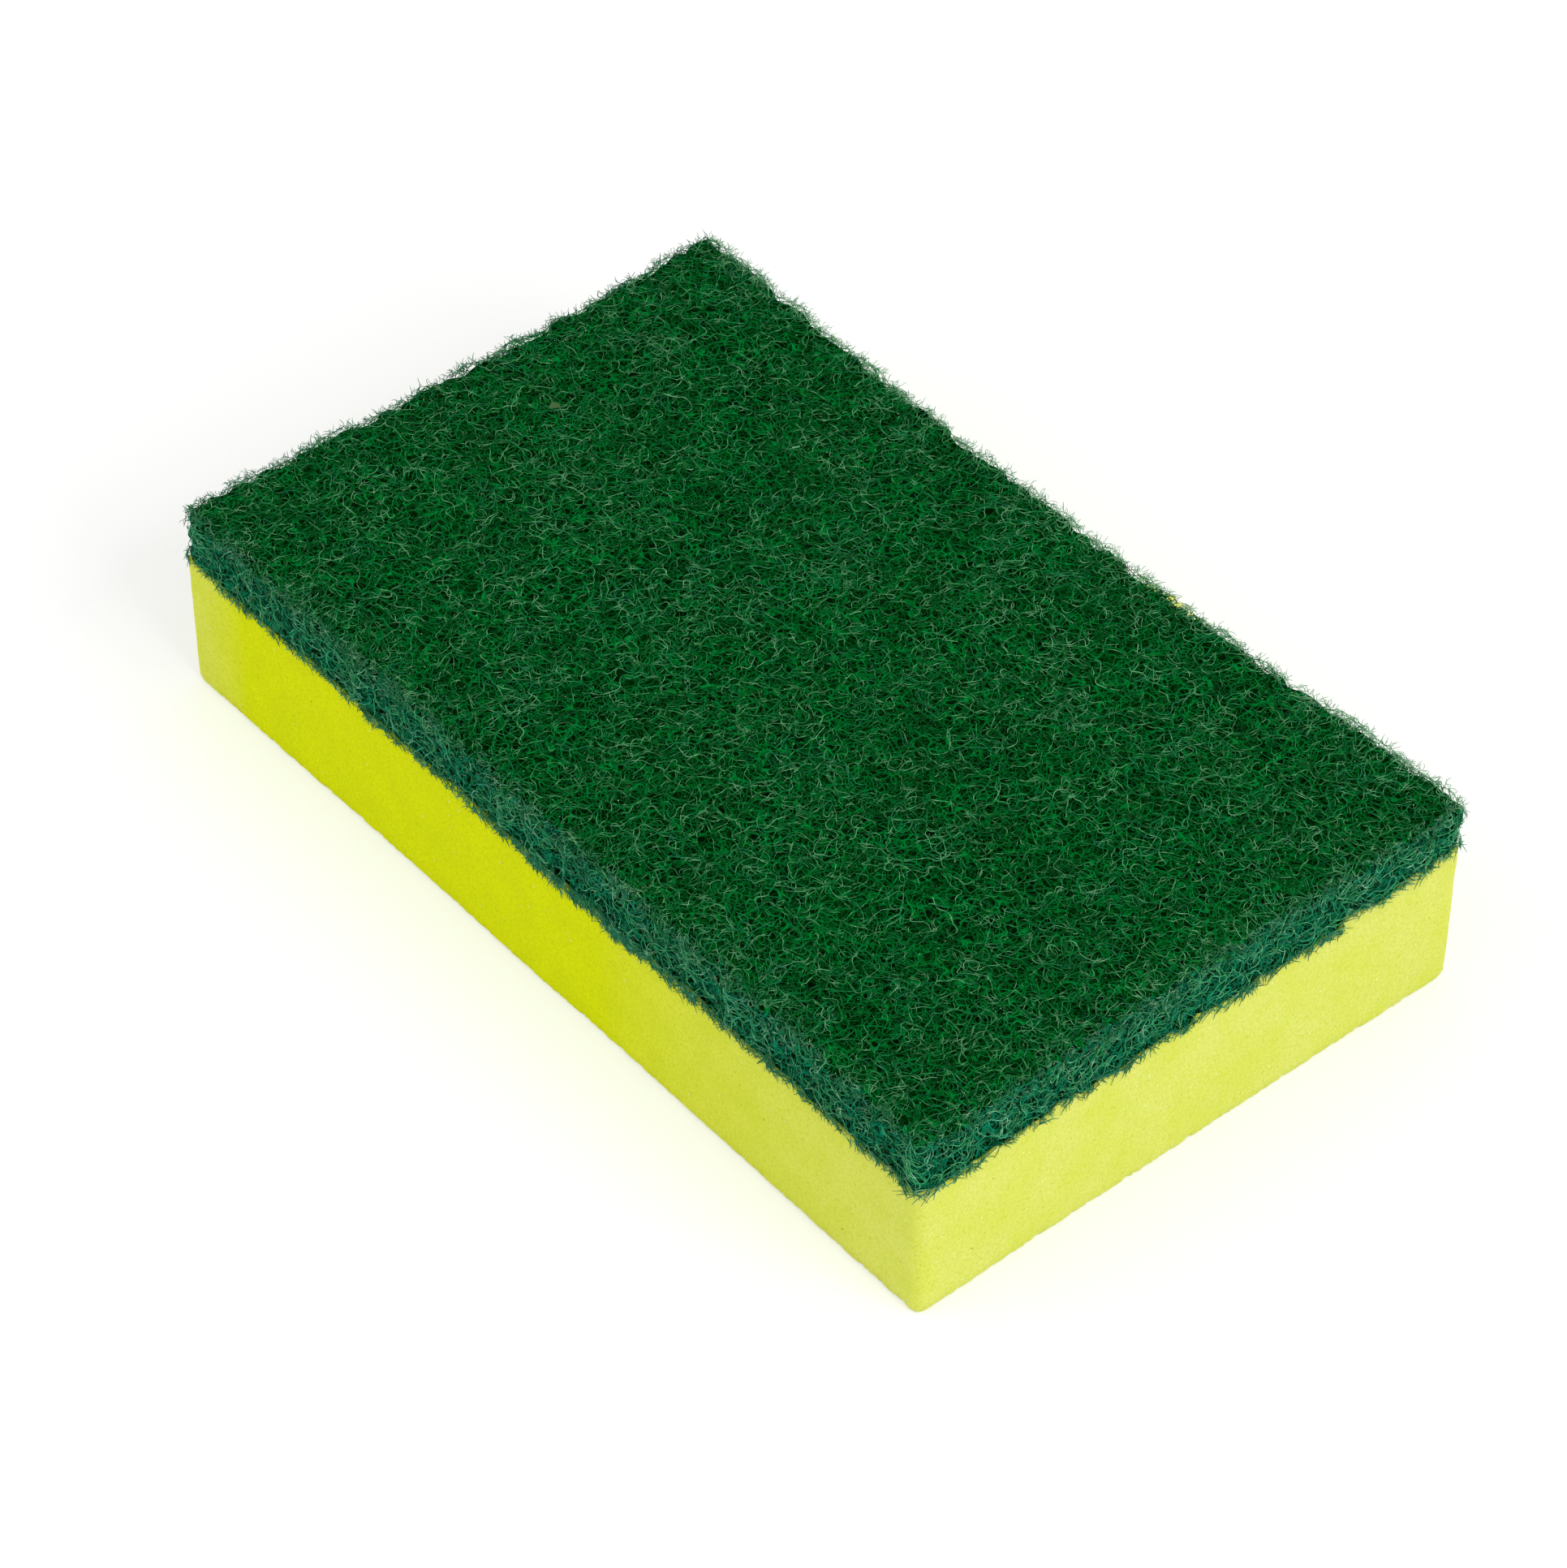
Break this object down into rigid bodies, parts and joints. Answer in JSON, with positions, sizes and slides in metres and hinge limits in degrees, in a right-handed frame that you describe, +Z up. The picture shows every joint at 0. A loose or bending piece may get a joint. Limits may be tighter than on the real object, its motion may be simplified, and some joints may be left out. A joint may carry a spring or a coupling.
{
  "type": "cleaning sponge",
  "caption": "Oblong cleaning sponge: a soft foam block with a rough non-woven scouring pad glued over its top face.",
  "frame": {"origin": "middle of the foam block's underside", "axes": "+X along the sponge, +Y across it, +Z up from the foam side to the scouring side"},
  "size_m": [0.1399, 0.0849, 0.0288],
  "materials": {
    "foam": "matte open-cell foam",
    "scouring_web": "matte fibre web"
  },
  "bodies": {
    "root": {"foam_block": "foam", "scouring_pad": "scouring_web"}
  },
  "joints": []
}
